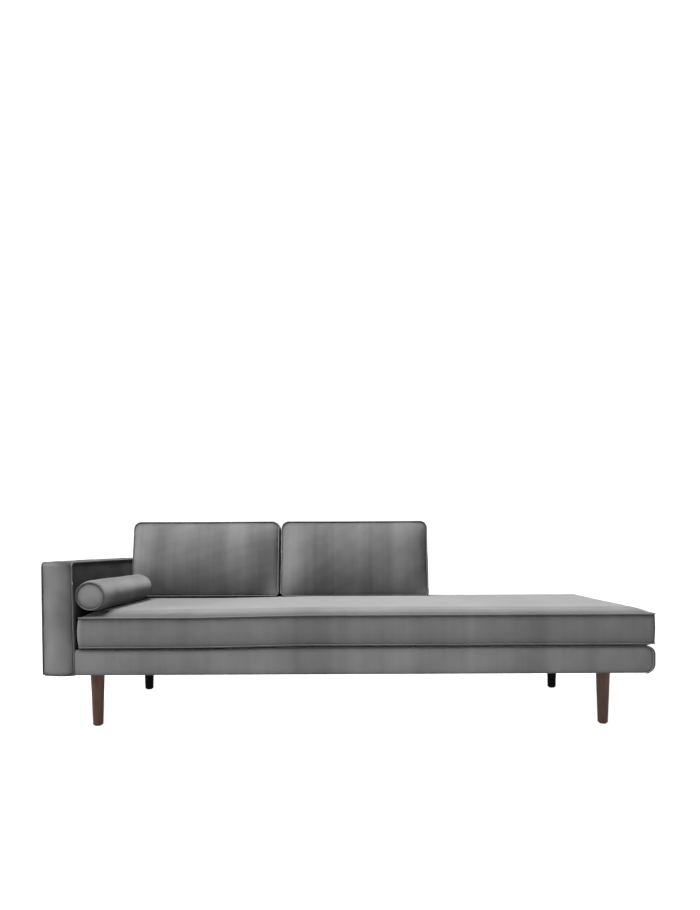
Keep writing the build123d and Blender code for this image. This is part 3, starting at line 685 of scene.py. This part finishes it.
def makeBolster():
    low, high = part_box("bolster_sleeve")
    endLow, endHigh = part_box("bolster_ends")
    middle = np.array((low + high) / 2)
    stations = bolsterStations((high.y - low.y) / 2, (high.x - low.x) / 2, (endHigh.x - endLow.x) / 2)
    around = bolsterSet["around"]
    turns = np.linspace(0, 2 * math.pi, around, endpoint=False)
    points = [(r * math.cos(t), y, r * math.sin(t)) for y, r in stations for t in turns]
    rings = [np.arange(around) + k * around for k in range(len(stations))]
    faces = []
    for first, second in zip(rings, rings[1:]):
        faces += bandFaces(first, second)
    for station, ring, out in ((stations[0], rings[0], -1), (stations[-1], rings[-1], 1)):
        points.append((0.0, station[0] + out * bolsterSet["tip"], 0.0))
        faces += [[len(points) - 1, a, b] for a, b in zip(ring, np.roll(ring, -1))]
    middle[2] -= bolsterSet["sink"]
    cover = newPiece("bolsterCover", np.array(points) + middle, faces, velvetBolsterLitShaded)
    seams = [rings[bolsterSet["endRings"] - 1], rings[-bolsterSet["endRings"]]]
    relief(cover, seams, bolsterSet, bolsterSet["seed"])
    cords = piping("bolsterPiping", [(seamPath(cover, loop, middle, world[1]), True) for loop in seams])
    replaced = ("bolster_core", "bolster_sleeve", "bolster_ends")
    handOver(cover, cords, "bolster", replaced, "bolster_piping")


makeBolster()
print("bolster made")


def upholstered(name, axes, nodes, spec, material, replaced, pipingNode, keep,
                pull=(0, 0, 0, 0), grow=((0, 0, 0), (0, 0, 0)), shape=lambda points: points):
    low, high = extent(axes, *nodes)
    low, high = low + np.array(grow[0]), high + np.array(grow[1])
    levels = (low[2], high[2])
    crowns, rises = (spec["crown"],) * 2, (spec["rise"],) * 2
    points, faces, loops = boxedForm(low, high, levels, spec, crowns, rises, pull)
    cover = newPiece(name + "Cover", shape(toWorld(points, axes)), faces, material)
    relief(cover, loops, spec, spec["seed"])
    lineFlats(cover, spec)
    middle = toWorld(((low + high) / 2)[None], axes)[0]
    paths = []
    for loop in loops:
        path = seamPath(cover, loop, middle, axes[2])
        paths += keptRuns(path, keep(path))
    handOver(cover, piping(name + "Piping", paths), "frame", replaced, pipingNode)


flatFacing = 0.7     # upward share of a face that counts as level


def lineFlats(cover, spec):
    # plain lining underneath and, on the platform, under the mattress
    cover.data.materials.append(lining)
    points = meshPoints(cover)
    low, high = points.min(0) + spec["margin"], points.max(0) - spec["margin"]
    for face in cover.data.polygons:
        inside = all(low[axis] < face.center[axis] < high[axis] for axis in (0, 1))
        upward = face.normal.z
        if inside and (upward < -flatFacing or (spec["deck"] and upward > flatFacing)):
            face.material_index = 1


leastRun = 4         # points that a stretch of piping has at least


def keptRuns(path, keep):
    # the stretches of a closed path that are kept, as open paths
    if keep.all():
        return [(path, True)]
    first = int(np.argmin(keep))
    path, keep = np.roll(path, -first, 0), np.roll(keep, -first)
    runs, run = [], []
    for point, stays in zip(path, keep):
        if stays:
            run.append(point)
        elif run:
            runs.append(run)
            run = []
    if run:
        runs.append(run)
    return [(np.array(r), False) for r in runs if len(r) >= leastRun]


armSet = {"cell": 0.014, "corner": 0.014, "rise": 0.05, "crown": 0.0028, "fullness": 2.1, "bulge": 0.0045,
          "swellPower": 1.0, "ripple": 0.0009, "gather": 0.0008, "wave": 0.19, "depth": 0.008,
          "flare": 0.005, "foot": 0.003, "footPower": 8, "pull": (0.0005, 0.002, 0, 0.002),
          "margin": 0.02, "deck": False, "sideShade": 2.6, "fill": 1.0, "cordStart": 0.003, "seed": 83}
armAxes = ([0, 1, 0], [0, 0, 1], [1, 0, 0])
armLow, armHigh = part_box("arm_cover_band")


def flared(points):
    # the arm's inner side spreads a little towards its foot, and the foot hangs lower
    share = np.clip((armHigh.z - points[:, 2]) / (armHigh.z - armLow.z), 0, 1)
    side = np.clip((points[:, 0] - armLow.x) / (armHigh.x - armLow.x), 0, 1)
    points[:, 0] += armSet["flare"] * share * side
    points[:, 2] -= armSet["foot"] * share ** armSet["footPower"]
    return points


armCovers = ("arm_cover_inner", "arm_cover_outer", "arm_cover_band")
upholstered("arm", armAxes, armCovers, armSet, velvetArmLitShaded, armCovers + ("arm_padding",), "arm_piping",
            lambda path: path[:, 2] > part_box("arm_cover_band")[0].z + armSet["cordStart"],
            armSet["pull"], shape=flared)

backSet = {**armSet, "sideShade": 1.0, "cell": 0.02, "crown": 0.0025, "bulge": 0.002, "ripple": 0.0008,
           "cordStart": 0.004, "seed": 97}
backAxes = ([1, 0, 0], [0, 0, 1], [0, -1, 0])
backCovers = ("back_cover_inner", "back_cover_outer", "back_cover_band")
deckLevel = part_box("deck_cloth")[1].z


def backCord(path):
    # the back's piping is kept above the deck and short of the arm
    start = backSet["cordStart"]
    return (path[:, 2] > deckLevel + start) & (path[:, 0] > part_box("back_cover_band")[0].x + start)


upholstered("back", backAxes, backCovers, backSet, velvetBaseLit, backCovers + ("back_padding",),
            "back_piping", backCord)

platformSet = {**backSet, "cell": 0.016, "corner": 0.03, "rise": 0.04, "crown": 0.0016, "bulge": 0.001,
               "ripple": 0.0006, "endPull": 0.016, "depth": 0.018, "tuck": 0.04, "seamReach": 0.022,
               "endPuff": 0.003, "margin": 0.05, "deck": True, "sagDepth": 0.03, "sagFront": -0.3,
               "sagSpan": 0.1, "hideSpan": 0.004, "hide": 0.006, "seed": 101}
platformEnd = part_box("platform_cover_end")[1].x


def sagging(points):
    # the front of the deck gives a little under the left part of the mattress, and what is
    # tucked into the arm stays behind the arm's face
    depth = platformSet["sagDepth"]
    high = np.clip((points[:, 2] - deckLevel + depth) / depth, 0, 1)
    front = np.clip((platformSet["sagFront"] - points[:, 1]) / platformSet["sagSpan"], 0, 1)
    lowered = slump(points.copy())
    points = points + (lowered - points) * (high * front)[:, None]
    inArm = np.clip((armHigh.x - points[:, 0]) / platformSet["hideSpan"], 0, 1) * (points[:, 1] < 0)
    points[:, 1] += inArm * platformSet["hide"]
    return points


platformCovers = ("platform_cover_front", "platform_cover_rear", "platform_cover_end")
upholstered("platform", backAxes, platformCovers, platformSet, velvetBaseLit,
            platformCovers + ("platform_padding", "deck_cloth", "deck_foam"), "platform_piping",
            lambda path: path[:, 0] > platformEnd - platformSet["endPull"] - platformSet["seamReach"],
            (0, platformSet["endPull"], 0, 0),
            ((-platformSet["tuck"], 0, 0), (platformSet["endPuff"], 0, 0)), sagging)
print("upholstery made")


zipSet = {"inset": 0.01, "pitch": 0.0034, "tooth": (0.0016, 0.0022, 0.0052)}


def makeZip():
    low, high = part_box("mattress_zip")
    y, z = high.y, (low.z + high.z) / 2
    paths = [([(x, y, z) for x in (low.x + zipSet["inset"], high.x - zipSet["inset"])], False)]
    teeth = grown("zipTeeth", paths, teethNodes, {"Pitch": zipSet["pitch"], "Tooth": zipSet["tooth"],
                                                 "Material": plastic})
    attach(teeth, "mattress")


makeZip()


finishes = {"walnut": walnut, "pine": pine, "plywood": plywood, "foam": foam, "wadding": foam,
            "zinc_steel": steel, "lining_black": lining, "glide_plastic": plastic, "zip_plastic": zipTape,
            "velvet_grey": velvetBaseLit, "piping_grey": velvetPipingShaded}
for part in frame["record"]["subparts"]:
    node = frame["nodes"][part["node"]]
    finish = nearBlackWood if part["node"].startswith("leg_rear") else finishes[part["material_slot"]]
    node.data.materials.clear()
    node.data.materials.append(finish)
print("finishes set")


cameraSet = {"place": (0.004, -2.739, 0.655), "pitch": -1.2, "roll": 0.25, "sensor": 36.0,
             "focal": 648.9, "wide": 700.0, "shiftX": -0.0006, "shiftY": 0.1503}


def makeCamera():
    data = bpy.data.cameras.new("camera")
    data.sensor_fit = "HORIZONTAL"
    data.sensor_width = cameraSet["sensor"]
    data.lens = cameraSet["sensor"] * cameraSet["focal"] / cameraSet["wide"]
    data.shift_x, data.shift_y = cameraSet["shiftX"], cameraSet["shiftY"]
    camera = bpy.data.objects.new("camera", data)
    camera.location = cameraSet["place"]
    camera.rotation_mode = "XYZ"
    tilt = math.radians(90 + cameraSet["pitch"])
    camera.rotation_euler = (tilt, math.radians(cameraSet["roll"]), 0)
    scene.collection.objects.link(camera)
    scene.camera = camera


lights = {"overhead": {"place": (-1.4, -0.9, 6.0), "aim": (0, 0, 0.35), "size": 3.0, "power": 1760.0},
          "side": {"place": (-3.4, -2.2, 1.6), "aim": (-0.2, 0, 0.4), "size": 1.6, "power": 80.0},
          "fill": {"place": (2.2, -3.4, 1.1), "aim": (-0.4, 0, 0.4), "size": 1.8, "power": 32.0}}


def areaLight(name, place, aim, size, power):
    data = bpy.data.lights.new(name, "AREA")
    data.size, data.energy = size, power
    lamp = bpy.data.objects.new(name, data)
    lamp.location = place
    lamp.rotation_euler = (Vector(aim) - Vector(place)).to_track_quat("-Z", "Y").to_euler()
    scene.collection.objects.link(lamp)


stageSet = {"radius": 9.0, "height": 17.0, "sides": 48, "world": 0.02, "floor": 0.14, "floorGlow": 1.0,
            "backdrop": 0.1, "backdropGlow": 1.05, "rough": 0.9, "patch": (1.5, 1.5, 1.5), "tint": 1.03}


def stagePiece(name, corners, faces, base, glow):
    mesh = bpy.data.meshes.new(name)
    mesh.from_pydata(corners, [], faces)
    fixed = {"Roughness": stageSet["rough"], "Emission Strength": glow}
    material, tree, shader = newMaterial(name, fixed)
    dark, light = [(tone, tone, tone, 1) for tone in (base, base * stageSet["tint"])]
    link(tree, mixed(tree, noise(tree, stageSet["patch"]), dark, light), shader, "Base Color")
    shader.inputs["Emission Color"].default_value = (1, 1, 1, 1)
    mesh.materials.append(material)
    piece = bpy.data.objects.new(name, mesh)
    scene.collection.objects.link(piece)
    return piece


def makeStage():
    # a round pale floor inside a round pale backdrop
    sides = stageSet["sides"]
    ring = [(stageSet["radius"] * math.cos(turn), stageSet["radius"] * math.sin(turn))
            for turn in np.linspace(0, 2 * math.pi, sides, endpoint=False)]
    floor = stagePiece("floor", [(x, y, 0) for x, y in ring], [tuple(range(sides))], stageSet["floor"],
                       stageSet["floorGlow"])
    wall = [(x, y, z) for z in (0, stageSet["height"]) for x, y in ring]
    panels = [(i, (i + 1) % sides, (i + 1) % sides + sides, i + sides) for i in range(sides)]
    backdrop = stagePiece("backdrop", wall, panels, stageSet["backdrop"], stageSet["backdropGlow"])
    backdrop.visible_diffuse = backdrop.visible_glossy = False
    sky = bpy.data.worlds.new("sky")
    sky.use_nodes = True
    sky.node_tree.nodes["Background"].inputs["Color"].default_value = (1, 1, 1, 1)
    sky.node_tree.nodes["Background"].inputs["Strength"].default_value = stageSet["world"]
    scene.world = sky


makeCamera()
makeStage()
for name, spec in lights.items():
    areaLight(name, **spec)
scene.view_settings.view_transform = "Standard"
print("camera and light set")
